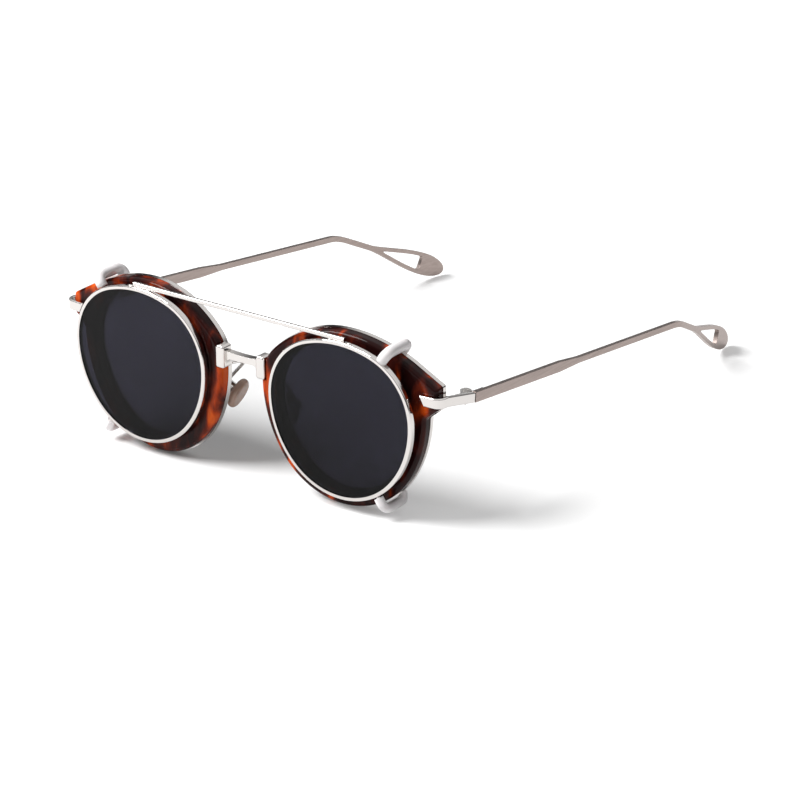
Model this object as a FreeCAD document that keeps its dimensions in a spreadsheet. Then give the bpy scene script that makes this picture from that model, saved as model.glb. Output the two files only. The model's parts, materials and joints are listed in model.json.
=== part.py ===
"""Glasses with tortoise acetate rims over silver metal rims, and a sun clip held on by four sleeved claws.

The front stands upright in the XZ plane and faces -Y, the temples run back along +Y, and +Z is up. The
origin is the middle of the footprint, on the surface that the rims and the temple tips stand on. Front sizes
are measured from the middle of the front face of the acetate, level with the middle of the rims. Pieces of the
+X side are drawn, and those of the -X side are their mirror images. Millimetres and degrees.
"""
import FreeCAD, Part
import math
import os
import Sketcher
from enum import IntEnum
from FreeCAD import Placement, Rotation, Vector

SIZES = {
    # Outer outline of the rims: tangent arcs, where each corner and flank turns by its own angle, and a lug for
    # the end piece at the upper outer corner
    "nasal_gap": 13.7,
    "front_width": 50.9,
    "front_height": 48.4,
    "front_widest": 6.2,
    "front_corner_turn": 44.41,
    "front_flank_turn": 31.16,
    "brow_radius": 44.0,
    "lug_slope": 29.5,
    "lug_out": 3.85,
    "lug_end": 5.7,
    "lug_under": 3.1,
    "lug_rounding": 0.9,
    "lug_fillet": 1.5,
    # Opening of the rims, and how wide the rims are round it
    "opening_nasal": 5.4,
    "opening_outer": 4.1,
    "opening_top": 3.6,
    "opening_bottom": 4.2,
    "opening_widest": 3.0,
    "opening_corner_turn": 66.36,
    "opening_flank_turn": 61.16,
    # Each eye of the front turns back by this much from the middle
    "face_form": 4.0,
    # Layers of the rims, front to back
    "acetate_depth": 2.8,
    "acetate_edge": 1.1,
    "acetate_inner_edge": 0.8,
    "rim_depth": 1.6,
    "rim_proud": 0.2,
    "rim_edge": 0.4,
    "lens_ledge": 0.8,
    "lens_depth": 1.0,
    "lens_play": 0.05,
    # Bridge: two legs in notches of the acetate, joined by a span that is set back
    "leg_lead": 1.45,
    "leg_width": 2.85,
    "leg_bottom": 6.0,
    "leg_height": 6.4,
    "leg_proud": 0.1,
    "leg_play": 0.15,
    "leg_corner": 0.8,
    "leg_rounding": 0.6,
    "span_bottom": 8.9,
    "span_height": 2.2,
    "span_setback": 1.0,
    "span_depth": 2.0,
    "span_fillet": 1.8,
    "span_dip": 0.4,
    # End piece: a strip bent round the lug, and the temple hinge behind it
    "arm_thickness": 1.3,
    "plate_gap": 0.15,
    "strip_gap": 0.8,
    "strip_length": 15.0,
    "plate_length": 4.9,
    "plate_slant": 1.5,
    "plate_down": 3.2,
    "plate_height": 2.85,
    "bend_radius": 3.0,
    "drop_start": 3.2,
    "drop_rounding": 6.0,
    "hinge_drop": 2.6,
    "hinge_offset": 1.9,
    "knuckle_radius": 1.5,
    "knuckle_height": 0.9,
    "knuckle_play": 0.06,
    "leaf_thickness": 0.9,
    "leaf_length": 6.0,
    "leaf_height": 2.2,
    "leaf_start": 1.9,
    "leaf_foot": 0.8,
    "web_start": 0.4,
    "screw_radius": 0.7,
    "screw_play": 0.04,
    "screw_head_radius": 1.0,
    "screw_head_height": 0.25,
    "slot_width": 0.35,
    "slot_depth": 0.12,
    # Temple: flat bar that steps down, drops at the ear, curls in and ends in an open loop with a round pad
    "temple_play": 0.06,
    "temple_inward": 1.7,
    "temple_slope": 6.4,
    "temple_height": 2.8,
    "temple_step": 40.0,
    "temple_taper": 9.0,
    "temple_thin": 1.65,
    "ear_bend": 100.6,
    "ear_radius": 20.0,
    "ear_drop": 20.15,
    "ear_curl": 11.0,
    "curl_radius": 30.0,
    "curl_room": 16.0,
    "tip_neck": 15.2,
    "tip_flare": 65.0,
    "tip_spread": 21.5,
    "tip_half": 3.15,
    "tip_pad": 4.55,
    "loop_tine": 0.8,
    "loop_nose": 0.3,
    "loop_wall": 2.8,
    # Nose pads: bent wire arm, small box, screw and an oval pad that rocks on the screw
    "pad_outward": 1.85,
    "pad_back": 5.2,
    "pad_rise": -4.6,
    "pad_splay": 5.0,
    "pad_lean": 27.0,
    "pad_half_length": 4.6,
    "pad_half_width": 3.4,
    "pad_end": 2.6,
    "pad_half_depth": 1.1,
    "pad_edge": 0.95,
    "pad_axis": 2.5,
    "boss_width": 1.2,
    "boss_radius": 0.75,
    "box_play": 0.1,
    "box_wall": 0.5,
    "box_half_height": 1.3,
    "box_front": 0.75,
    "box_back": 0.9,
    "box_back_wall": 1.1,
    "pad_screw_radius": 0.4,
    "pad_screw_play": 0.04,
    "pad_screw_head": 0.7,
    "pad_screw_cap": 0.3,
    "wire_radius": 0.5,
    "wire_bend": 1.1,
    "wire_root_in": 1.1,
    "wire_root_length": 1.2,
    "wire_root_rise": 5.5,
    "wire_knee_in": 1.75,
    "wire_knee_back": 4.5,
    "wire_knee_rise": 5.9,
    "wire_end_length": 1.6,
    # Sun clip, flatter than the front, and how far its lenses lie inside the outer outline of the rims
    "clip_form": 1.43,
    "clip_nasal": 4.9,
    "clip_outer": 2.0,
    "clip_top": 2.2,
    "clip_bottom": 4.2,
    "clip_widest": 2.9,
    "clip_corner_turn": 70.68,
    "clip_flank_turn": 40.87,
    "clip_gap": 0.17,
    "clip_rim_width": 1.0,
    "clip_rim_depth": 1.8,
    "clip_rim_edge": 0.4,
    "clip_groove": 0.45,
    "clip_lens_depth": 1.2,
    "clip_lens_play": 0.05,
    "bar_over": 1.75,
    "bar_height": 1.2,
    "bar_depth": 1.1,
    "bar_edge": 0.35,
    "bar_play": 0.02,
    # Claws, at these angles round the clip's eyes
    "claw_upper": 55.5,
    "claw_lower": -58.0,
    "claw_wire_radius": 0.55,
    "claw_play": 0.03,
    "sleeve_radius": 1.3,
    "claw_gap": 0.1,
    "claw_upper_clear": 0.3,
    "claw_lower_clear": 0.3,
    "sleeve_start": 0.3,
    "sleeve_end_wall": 1.4,
    "sleeve_back_clear": 0.35,
    "sleeve_hook": 1.6,
    "sleeve_bend": 2.1,
    "sleeve_tip": 0.95,
}


class Value:
    """A number together with the formula that gives it from the sheet, so that each formula is written once."""

    def __init__(self, number, formula=None):
        self.number = float(number)
        self.formula = formula or f"({self.number})"

    def __float__(self):
        return self.number

    def __neg__(self):
        return Value(-self.number, f"(-{self.formula})")

    def __add__(self, other):
        other = value(other)
        return Value(self.number + other.number, f"({self.formula} + {other.formula})")

    def __sub__(self, other):
        other = value(other)
        return Value(self.number - other.number, f"({self.formula} - {other.formula})")

    def __mul__(self, other):
        other = value(other)
        return Value(self.number * other.number, f"({self.formula} * {other.formula})")

    def __truediv__(self, other):
        other = value(other)
        return Value(self.number / other.number, f"({self.formula} / {other.formula})")

    def sin(self):
        return Value(math.sin(math.radians(self.number)), f"sin({self.formula})")

    def cos(self):
        return Value(math.cos(math.radians(self.number)), f"cos({self.formula})")

    def tan(self):
        return Value(math.tan(math.radians(self.number)), f"tan({self.formula})")


def value(thing):
    return thing if isinstance(thing, Value) else Value(thing)


class Eye:
    """An eye shape: top and bottom arcs centred on its upright axis, corner and flank arcs at each side."""

    def __init__(self, name, x, z, half_width, half_height):
        self.x = x
        self.z = z
        self.half_width = half_width
        self.half_height = half_height
        self.widest = z + getattr(s, name + "_widest")
        corner_turn = getattr(s, name + "_corner_turn")
        flank_turn = getattr(s, name + "_flank_turn")
        above = half_height + z - self.widest
        below = half_height - z + self.widest
        top_lead = (half_width - above) / (corner_turn.sin() + corner_turn.cos() - 1)
        bottom_lead = (half_width - below) / (flank_turn.sin() + flank_turn.cos() - 1)
        self.corner = half_width - top_lead * corner_turn.cos()
        self.flank = half_width - bottom_lead * flank_turn.cos()
        self.corner_x = float(half_width - self.corner)
        self.flank_x = float(half_width - self.flank)
        self.top = float(self.corner + top_lead)
        self.bottom = float(self.flank + bottom_lead)
        self.top_z = float(z + half_height) - self.top
        self.bottom_z = float(z - half_height) + self.bottom
        self.corner_angle = math.radians(float(corner_turn))
        self.flank_angle = -math.radians(float(flank_turn))

    def outer_arcs(self, grow):
        """Arcs of the outer side from the top, as centre, radius and the angles that they span."""
        x = float(self.x)
        widest = float(self.widest)
        return [
            (Vector(x, self.top_z), self.top + grow, self.corner_angle, math.pi / 2),
            (Vector(x + self.corner_x, widest), float(self.corner) + grow, 0, self.corner_angle),
            (Vector(x + self.flank_x, widest), float(self.flank) + grow, self.flank_angle, 0),
            (Vector(x, self.bottom_z), self.bottom + grow, -math.pi / 2, self.flank_angle),
        ]


def reach_to(arcs, start, angle):
    """How far from start, in a direction, an outline made of those arcs lies."""
    way = Vector(math.cos(math.radians(angle)), math.sin(math.radians(angle)))
    for centre, radius, first, last in arcs:
        offset = start - centre
        along = offset.dot(way)
        distance = math.sqrt(along**2 - offset.dot(offset) + radius**2) - along
        point = offset + way * distance
        if first <= math.atan2(point.y, point.x) <= last:
            return distance
    raise ValueError(f"no arc lies at {angle} degrees")


class Point(IntEnum):
    """The points of a sketch's curve."""

    START = 1
    END = 2
    CENTRE = 3


doc = FreeCAD.newDocument("clip_on_sunglasses")
sheet = doc.addObject("Spreadsheet::Sheet", "sizes")
cells = {}


def set_size(name, number):
    """Writes a size in the sheet, in a new row the first time."""
    if name not in cells:
        cells[name] = f"B{len(cells) + 1}"
        sheet.set(cells[name].replace("B", "A"), name)
        sheet.setAlias(cells[name], name)
    sheet.set(cells[name], str(number))


class Sizes:
    """The sizes as values, by name."""

    def __getattr__(self, name):
        return Value(SIZES[name], f"sizes.{name}")


s = Sizes()
ZERO = Value(0)
nasal_x = s.nasal_gap / 2
FRONT = Eye("front", nasal_x + s.front_width / 2, ZERO, s.front_width / 2, s.front_height / 2)


def inner_eye(name):
    """An eye that lies inside the outer outline of the rims, by its own amount on each side."""
    nasal, outer, top, bottom = (getattr(s, f"{name}_{edge}") for edge in ("nasal", "outer", "top", "bottom"))
    half_width = FRONT.half_width - (nasal + outer) / 2
    half_height = FRONT.half_height - (top + bottom) / 2
    return Eye(name, FRONT.x + (nasal - outer) / 2, (bottom - top) / 2, half_width, half_height)


OPENING = inner_eye("opening")
CLIP = inner_eye("clip")
lug_reach = FRONT.half_width + s.lug_out
lug_x = FRONT.x + lug_reach
lug_straight = lug_reach - s.brow_radius * s.lug_slope.sin()
brow_end_z = FRONT.half_height - s.brow_radius + s.brow_radius * s.lug_slope.cos()
lug_tip = brow_end_z - lug_straight * s.lug_slope.tan()
lug_bottom = lug_tip - s.lug_end
lug_root = lug_bottom - s.lug_under

# Where each claw leaves the clip's rim and crosses the edge of the front, from the middle of the clip's eye
clip_middle = Vector(float(CLIP.x), float(CLIP.z))
brow_level = float(FRONT.half_height - s.brow_radius)
proud_brow = (Vector(float(FRONT.x), brow_level), float(s.brow_radius + s.rim_proud), 0, math.pi / 2)
proud_edge = [proud_brow] + FRONT.outer_arcs(float(s.rim_proud))[2:]
for claw in ("claw_upper", "claw_lower"):
    SIZES[claw + "_rim"] = reach_to(CLIP.outer_arcs(float(s.clip_rim_width)), clip_middle, SIZES[claw])
    crossed = proud_edge if claw == "claw_upper" else proud_edge[1:]
    SIZES[claw + "_edge"] = reach_to(crossed, clip_middle, SIZES[claw])

# Depth and height of the origin, found from the finished model
SIZES["front_setback"] = 0.0
SIZES["front_level"] = 0.0
for alias, number in SIZES.items():
    set_size(alias, number)
doc.recompute()

UP = Vector(0, 0, 1)
nodes = {}


def new_body(name):
    body = doc.addObject("PartDesign::Body", name)
    body.Label = name
    return body


def new_sketch(body, name, role, offset=ZERO):
    """A sketch on one of the body's origin planes, moved along the plane's normal."""
    sketch = body.newObject("Sketcher::SketchObject", name)
    plane = next(item for item in body.Origin.OriginFeatures if item.Role == role)
    sketch.AttachmentSupport = (plane, [""])
    sketch.MapMode = "FlatFace"
    sketch.setExpression("AttachmentOffset.Base.z", offset.formula)
    return sketch


def constrain(sketch, kind, *where):
    return sketch.addConstraint(Sketcher.Constraint(kind, *where))


def measure(sketch, kind, length, *where):
    """A dimension that follows the value's formula."""
    length = value(length)
    number = math.radians(length.number) if kind == "Angle" else length.number
    index = constrain(sketch, kind, *where, number)
    sketch.setExpression(f"Constraints[{index}]", length.formula)


def locate(sketch, x, y, *where):
    measure(sketch, "DistanceX", x, *where)
    measure(sketch, "DistanceY", y, *where)


def arc(x, y, radius, first, last):
    return Part.ArcOfCircle(Part.Circle(Vector(float(x), float(y)), UP, float(radius)), first, last)


def line(start, end):
    return Part.LineSegment(Vector(float(start[0]), float(start[1])), Vector(float(end[0]), float(end[1])))


def chain(sketch, curves, smooth=(), backward=(), closed=True):
    """Adds curves end to end. Joints after the smooth ones are tangent. Backward arcs run from end to start."""
    first = len(sketch.Geometry)
    for curve in curves:
        sketch.addGeometry(curve, False)
    count = len(curves)
    for index in range(count if closed else count - 1):
        after = (index + 1) % count
        leave = Point.START if index in backward else Point.END
        enter = Point.END if after in backward else Point.START
        kind = "Tangent" if index in smooth else "Coincident"
        constrain(sketch, kind, first + index, leave, first + after, enter)
    return first


def polygon(sketch, corners):
    sides = [line(corner, corners[(i + 1) % len(corners)]) for i, corner in enumerate(corners)]
    first = chain(sketch, sides)
    for index, (x, y) in enumerate(corners):
        locate(sketch, x, y, first + index, Point.START)


def rectangle(sketch, left, right, low, high):
    polygon(sketch, [(left, low), (right, low), (right, high), (left, high)])


def circle(sketch, radius, x=ZERO, y=ZERO):
    index = sketch.addGeometry(Part.Circle(Vector(float(x), float(y)), UP, float(radius)), False)
    measure(sketch, "Radius", radius, index)
    locate(sketch, x, y, index, Point.CENTRE)


def set_height(sketch, index, height):
    """Sets the height of an arc's top or bottom, by an upright construction line from its centre."""
    centre = sketch.getPoint(index, Point.CENTRE)
    upright = sketch.addGeometry(line(centre, (centre.x, height)), True)
    constrain(sketch, "Coincident", upright, Point.START, index, Point.CENTRE)
    constrain(sketch, "Vertical", upright)
    constrain(sketch, "PointOnObject", upright, Point.END, index)
    measure(sketch, "DistanceY", height, upright, Point.END)


def draw_eye(sketch, eye, grow=ZERO):
    """The six arcs of an eye, grown outwards all round."""
    more = float(grow)
    x = float(eye.x)
    left = math.pi - eye.corner_angle
    low = math.pi - eye.flank_angle
    corner_radius = eye.corner + grow
    flank_radius = eye.flank + grow
    arcs = [
        arc(x, eye.top_z, eye.top + more, eye.corner_angle, left),
        arc(x - eye.corner_x, eye.widest, corner_radius, left, math.pi),
        arc(x - eye.flank_x, eye.widest, flank_radius, math.pi, low),
        arc(x, eye.bottom_z, eye.bottom + more, low, 2 * math.pi + eye.flank_angle),
        arc(x + eye.flank_x, eye.widest, flank_radius, eye.flank_angle, 0),
        arc(x + eye.corner_x, eye.widest, corner_radius, 0, eye.corner_angle),
    ]
    top = chain(sketch, arcs, smooth=range(len(arcs)))
    corner, flank, bottom, flank_right, corner_right = range(top + 1, top + len(arcs))
    constrain(sketch, "Equal", corner, corner_right)
    constrain(sketch, "Equal", flank, flank_right)
    constrain(sketch, "Horizontal", corner, Point.CENTRE, flank, Point.CENTRE)
    constrain(sketch, "Horizontal", corner_right, Point.CENTRE, flank_right, Point.CENTRE)
    measure(sketch, "DistanceX", eye.x, top, Point.CENTRE)
    measure(sketch, "DistanceX", eye.x, bottom, Point.CENTRE)
    measure(sketch, "Radius", corner_radius, corner)
    measure(sketch, "Radius", flank_radius, flank)
    measure(sketch, "DistanceY", eye.widest, corner, Point.CENTRE)
    measure(sketch, "DistanceX", eye.x - eye.half_width - grow, flank, Point.START)
    set_height(sketch, top, eye.z + eye.half_height + grow)
    set_height(sketch, bottom, eye.z - eye.half_height - grow)


def draw_front(sketch, grow=ZERO):
    """The outer outline of a rim, with a flatter brow on the outer side that runs straight into the lug."""
    eye = FRONT
    more = float(grow)
    x = float(eye.x)
    left = math.pi - eye.corner_angle
    low = math.pi - eye.flank_angle
    slope = math.radians(float(s.lug_slope))
    brow_radius = s.brow_radius + grow
    corner_radius = eye.corner + grow
    flank_radius = eye.flank + grow
    reach = lug_x + grow
    bottom_z = lug_bottom - grow
    root_z = lug_root - grow
    brow_end = (x + float(brow_radius) * math.sin(slope), brow_level + float(brow_radius) * math.cos(slope))
    tip_z = brow_end[1] - (float(reach) - brow_end[0]) * math.tan(slope)
    root_angle = math.asin(float(root_z - eye.widest) / float(flank_radius))
    root = (x + eye.flank_x + float(flank_radius) * math.cos(root_angle), root_z)
    curves = [
        arc(x, eye.top_z, eye.top + more, math.pi / 2, left),
        arc(x - eye.corner_x, eye.widest, corner_radius, left, math.pi),
        arc(x - eye.flank_x, eye.widest, flank_radius, math.pi, low),
        arc(x, eye.bottom_z, eye.bottom + more, low, 2 * math.pi + eye.flank_angle),
        arc(x + eye.flank_x, eye.widest, flank_radius, eye.flank_angle, root_angle),
        line(root, (reach, bottom_z)),
        line((reach, bottom_z), (reach, tip_z)),
        line((reach, tip_z), brow_end),
        arc(x, brow_level, brow_radius, math.pi / 2 - slope, math.pi / 2),
    ]
    top = chain(sketch, curves, smooth=(0, 1, 2, 3, 7, 8))
    corner, flank, bottom, flank_right, under, end, lug, brow = range(top + 1, top + len(curves))
    constrain(sketch, "Equal", flank, flank_right)
    constrain(sketch, "Horizontal", corner, Point.CENTRE, flank, Point.CENTRE)
    constrain(sketch, "Horizontal", flank, Point.CENTRE, flank_right, Point.CENTRE)
    constrain(sketch, "Vertical", end)
    for centred in (top, bottom, brow):
        measure(sketch, "DistanceX", eye.x, centred, Point.CENTRE)
    measure(sketch, "Radius", corner_radius, corner)
    measure(sketch, "Radius", flank_radius, flank)
    measure(sketch, "Radius", brow_radius, brow)
    measure(sketch, "DistanceY", eye.widest, corner, Point.CENTRE)
    measure(sketch, "DistanceX", eye.x - eye.half_width - grow, flank, Point.START)
    measure(sketch, "DistanceY", eye.half_height + grow, top, Point.START)
    set_height(sketch, bottom, -(eye.half_height + grow))
    measure(sketch, "Angle", Value(180) - s.lug_slope, lug)
    locate(sketch, reach, bottom_z, end, Point.START)
    measure(sketch, "DistanceY", root_z, under, Point.START)


def pad(body, sketch, length, name, backward=False):
    feature = body.newObject("PartDesign::Pad", name)
    feature.Profile = sketch
    feature.Reversed = backward
    feature.setExpression("Length", length.formula)
    doc.recompute()


def pocket(body, sketch, length, name):
    """Cuts a sketch into the body, and stops if nothing was cut."""
    before = body.Shape.Volume
    feature = body.newObject("PartDesign::Pocket", name)
    feature.Profile = sketch
    feature.setExpression("Length", length.formula)
    doc.recompute()
    if body.Shape.Volume >= before:
        raise ValueError(f"{body.Label}: {name} cut nothing")


def fillet(body, radius, name, edges):
    base = body.Tip
    feature = body.newObject("PartDesign::Fillet", name)
    feature.Base = (base, edges)
    feature.setExpression("Radius", radius.formula)
    doc.recompute()


def face_edges(body, axis, place, outside=True):
    """Names of the edges round the outside, or round the openings, of the flat faces at that coordinate."""
    shape = body.Tip.Shape
    wanted = []
    for face in shape.Faces:
        flat = isinstance(face.Surface, Part.Plane)
        if flat and all(abs(getattr(vertex.Point, axis) - float(place)) < 1e-4 for vertex in face.Vertexes):
            for wire in face.Wires:
                if wire.isSame(face.OuterWire) == outside:
                    wanted.extend(wire.Edges)
    return [f"Edge{i}" for i, edge in enumerate(shape.Edges, 1) if any(edge.isSame(other) for other in wanted)]


def straight_edges(body, axis, **middle):
    """Names of the body's edges parallel to an axis, whose middles have the given coordinates."""
    names = []
    for i, edge in enumerate(body.Tip.Shape.Edges, 1):
        way = edge.Vertexes[-1].Point - edge.Vertexes[0].Point
        if not isinstance(edge.Curve, Part.Line) or abs(getattr(way, axis)) < 0.999 * way.Length:
            continue
        centre = edge.CenterOfMass
        if all(abs(getattr(centre, name) - float(place)) < 1e-3 for name, place in middle.items()):
            names.append(f"Edge{i}")
    return names


def place(thing, x=ZERO, y=ZERO, z=ZERO, yaw=ZERO, pitch=ZERO, roll=ZERO):
    """Puts a piece at a point of the front, turned about Z, Y and X."""
    corner = f"create(<<vector>>; {x.formula}; {(y - s.front_setback).formula}; {(z + s.front_level).formula})"
    turn = f"create(<<rotation>>; {yaw.formula}; {pitch.formula}; {roll.formula})"
    thing.setExpression("Placement", f"create(<<placement>>; {corner}; {turn})")


def keep(name, thing):
    thing.Label = name
    nodes[name] = thing


def keep_pair(name, thing):
    """Keeps a piece of the +X side, and its mirror image for the -X side."""
    keep(name + "_right", thing)
    image = doc.addObject("Part::Mirroring", name + "_left")
    image.Source = thing
    image.Normal = Vector(1, 0, 0)
    keep(name + "_left", image)


# Acetate rims: cut from sheet, rounded in front, with a notch for the bridge at the nasal edge
acetate = new_body("acetate_rim_body")
outline = new_sketch(acetate, "acetate_outline", "XZ_Plane")
draw_front(outline)
draw_eye(outline, OPENING)
pad(acetate, outline, s.acetate_depth, "acetate_sheet", backward=True)
fillet(acetate, s.lug_rounding, "acetate_lug_corners", straight_edges(acetate, "y", x=lug_x))
fillet(acetate, s.lug_fillet, "acetate_lug_root", straight_edges(acetate, "y", z=lug_root))
fillet(acetate, s.acetate_edge, "acetate_front_edge", face_edges(acetate, "y", 0))
fillet(acetate, s.acetate_inner_edge, "acetate_opening_edge", face_edges(acetate, "y", 0, outside=False))
leg_inner = nasal_x - s.leg_lead
leg_outer = leg_inner + s.leg_width
leg_top = s.leg_bottom + s.leg_height
leg_back = s.acetate_depth * s.face_form.cos() + (nasal_x - s.rim_proud) * s.face_form.sin()
notch_side = leg_outer * s.face_form.cos() + leg_back * s.face_form.sin() + s.leg_play
notch = new_sketch(acetate, "acetate_notch", "XZ_Plane")
rectangle(notch, ZERO, notch_side, s.leg_bottom - s.leg_play, leg_top + s.leg_play)
pocket(acetate, notch, s.acetate_depth, "acetate_notch_cut")
place(acetate, yaw=s.face_form)
keep_pair("acetate_rim", acetate)

# Metal rims: stamped plates behind the acetate that stand a little proud of it all round
metal = new_body("metal_rim_body")
lens_seat = s.lens_depth + s.lens_play * 2
outline = new_sketch(metal, "metal_outline", "XZ_Plane", -s.acetate_depth)
draw_front(outline, s.rim_proud)
draw_eye(outline, OPENING)
pad(metal, outline, s.rim_depth, "metal_plate", backward=True)
metal_back = s.acetate_depth + s.rim_depth
fillet(metal, s.lug_rounding, "metal_lug_corners", straight_edges(metal, "y", x=lug_x + s.rim_proud))
fillet(metal, s.lug_fillet, "metal_lug_root", straight_edges(metal, "y", z=lug_root - s.rim_proud))
fillet(metal, s.rim_edge, "metal_back_edge", face_edges(metal, "y", metal_back))
seat = new_sketch(metal, "metal_lens_seat", "XZ_Plane", -s.acetate_depth)
draw_eye(seat, OPENING, s.lens_ledge)
pocket(metal, seat, lens_seat, "metal_lens_seat_cut")
place(metal, yaw=s.face_form)
keep_pair("metal_rim", metal)

# Clear lenses, held between the acetate and the ledge of the metal rim
lens = new_body("base_lens_body")
outline = new_sketch(lens, "base_lens_outline", "XZ_Plane", -(s.acetate_depth + s.lens_play))
draw_eye(outline, OPENING, s.lens_ledge - s.lens_play)
pad(lens, outline, s.lens_depth, "base_lens_blank", backward=True)
place(lens, yaw=s.face_form)
keep_pair("base_lens", lens)

# Bridge: two legs that sit in the notches and reach the metal rims, joined by a span that is set back
bridge = new_body("bridge_body")
legs = new_sketch(bridge, "bridge_legs", "XZ_Plane", s.leg_proud)
rectangle(legs, leg_inner, leg_outer, s.leg_bottom, leg_top)
rectangle(legs, -leg_outer, -leg_inner, s.leg_bottom, leg_top)
pad(bridge, legs, s.leg_proud + leg_back, "bridge_leg_blocks", backward=True)
leg_corners = [straight_edges(bridge, "y", z=height) for height in (s.leg_bottom, leg_top)]
fillet(bridge, s.leg_corner, "bridge_leg_corners", leg_corners[0] + leg_corners[1])
fillet(bridge, s.leg_rounding, "bridge_leg_fronts", face_edges(bridge, "y", -s.leg_proud))
span_end = leg_inner + s.leg_width / 2
span_top = s.span_bottom + s.span_height
dip_radius = (span_end * span_end + s.span_dip * s.span_dip) / (s.span_dip * 2)
half_turn = math.asin(float(span_end) / float(dip_radius))
span = new_sketch(bridge, "bridge_span", "XZ_Plane", s.leg_proud - s.span_setback)
dip_centre = span_top - s.span_dip + dip_radius
sides = [
    line((-span_end, s.span_bottom), (span_end, s.span_bottom)),
    line((span_end, s.span_bottom), (span_end, span_top)),
    arc(0, dip_centre, dip_radius, -math.pi / 2 - half_turn, -math.pi / 2 + half_turn),
    line((-span_end, span_top), (-span_end, s.span_bottom)),
]
under = chain(span, sides, backward=(2,))
locate(span, -span_end, s.span_bottom, under, Point.START)
locate(span, span_end, s.span_bottom, under, Point.END)
locate(span, span_end, span_top, under + 1, Point.END)
locate(span, -span_end, span_top, under + 3, Point.START)
measure(span, "Radius", dip_radius, under + 2)
pad(bridge, span, s.span_depth, "bridge_span_bar", backward=True)
inner_corners = [straight_edges(bridge, "y", x=side, z=s.span_bottom) for side in (leg_inner, -leg_inner)]
fillet(bridge, s.span_fillet, "bridge_arch", inner_corners[0] + inner_corners[1])
place(bridge)
keep("bridge", bridge)

# End pieces: the common solid of three views of a strip that is bent round the lug and falls to the hinge
strip_inside = lug_x + s.strip_gap
strip_outside = strip_inside + s.arm_thickness
plate_end = lug_x - s.plate_length
plate_middle = lug_tip - s.plate_down
past_end = plate_end - s.plate_slant
split = s.temple_play / 2


def plate_back(x):
    """How far back the plate's inner face lies, a little in front of the acetate at that distance out."""
    return x * s.face_form.tan() - s.plate_gap


def plate_front(x):
    return plate_back(x) - s.arm_thickness


hinge_x = strip_inside - s.hinge_offset
hinge_y = plate_front(strip_outside) + s.strip_length
hinge_z = plate_middle - s.hinge_drop
past_hinge = hinge_y + s.arm_thickness
plan = new_body("endpiece_plan")
corner = new_sketch(plan, "endpiece_corner", "XY_Plane")
polygon(corner, [
    (past_end, plate_front(past_end)), (strip_outside, plate_front(strip_outside)), (strip_outside, past_hinge),
    (strip_inside, past_hinge), (strip_inside, plate_back(strip_inside)), (past_end, plate_back(past_end)),
])
pad(plan, corner, plate_middle + s.plate_height, "endpiece_corner_block")
fillet(plan, s.bend_radius, "endpiece_outer_bend",
       straight_edges(plan, "z", x=strip_outside, y=plate_front(strip_outside)))
fillet(plan, s.bend_radius - s.arm_thickness, "endpiece_inner_bend",
       straight_edges(plan, "z", x=strip_inside, y=plate_back(strip_inside)))
side = new_body("endpiece_side")
fall = new_sketch(side, "endpiece_fall", "YZ_Plane", past_end)
lean = s.temple_slope.tan() * s.temple_height / 2
plate_top = plate_middle + s.plate_height / 2
plate_bottom = plate_middle - s.plate_height / 2
fall_start = plate_front(strip_outside) + s.drop_start
polygon(fall, [
    (ZERO, plate_bottom), (fall_start, plate_bottom),
    (hinge_y - split - lean, hinge_z - s.temple_height / 2),
    (hinge_y - split + lean, hinge_z + s.temple_height / 2),
    (fall_start, plate_top), (ZERO, plate_top),
])
pad(side, fall, strip_outside - past_end + s.arm_thickness, "endpiece_fall_block")
knees = [straight_edges(side, "x", y=fall_start, z=height) for height in (plate_bottom, plate_top)]
fillet(side, s.drop_rounding, "endpiece_knee", knees[0] + knees[1])
face = new_body("endpiece_face")
slant = new_sketch(face, "endpiece_slant", "XZ_Plane")
below_hinge = hinge_z - s.temple_height
above_plate = plate_top + s.plate_height
slant_foot = plate_end + s.plate_slant * 2
polygon(slant, [
    (past_end, above_plate), (slant_foot, plate_bottom - s.plate_height), (slant_foot, below_hinge),
    (strip_outside + s.arm_thickness, below_hinge), (strip_outside + s.arm_thickness, above_plate),
])
pad(face, slant, past_hinge + s.arm_thickness, "endpiece_slant_block", backward=True)
endpiece = doc.addObject("Part::MultiCommon", "endpiece")
endpiece.Shapes = [plan, side, face]
place(endpiece)
keep_pair("endpiece", endpiece)

# Hinges: front leaf with the upper and lower knuckles, temple leaf with the middle one, and the screw
barrel_half = s.knuckle_height * 1.5 + s.knuckle_play
leaf_inside = s.hinge_offset - s.leaf_thickness
foot_end = s.leaf_start + s.leaf_foot
fall_rate = s.hinge_drop / (hinge_y - fall_start)
half_leaf = s.leaf_height / 2


def knuckle(body, name, bottom, web_start, web_end):
    """A knuckle round the hinge axis, with a web beside it that runs out to the leaf."""
    ring = new_sketch(body, name + "_ring", "XY_Plane", bottom)
    circle(ring, s.knuckle_radius)
    pad(body, ring, s.knuckle_height, name + "_barrel")
    web = new_sketch(body, name + "_web", "XY_Plane", bottom)
    rectangle(web, ZERO, s.hinge_offset, web_start, web_end)
    pad(body, web, s.knuckle_height, name + "_web_block")


def screw_bore(body, name):
    hole = new_sketch(body, name, "XY_Plane", barrel_half)
    circle(hole, s.screw_radius + s.screw_play)
    pocket(body, hole, barrel_half * 2, name + "_cut")


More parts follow.
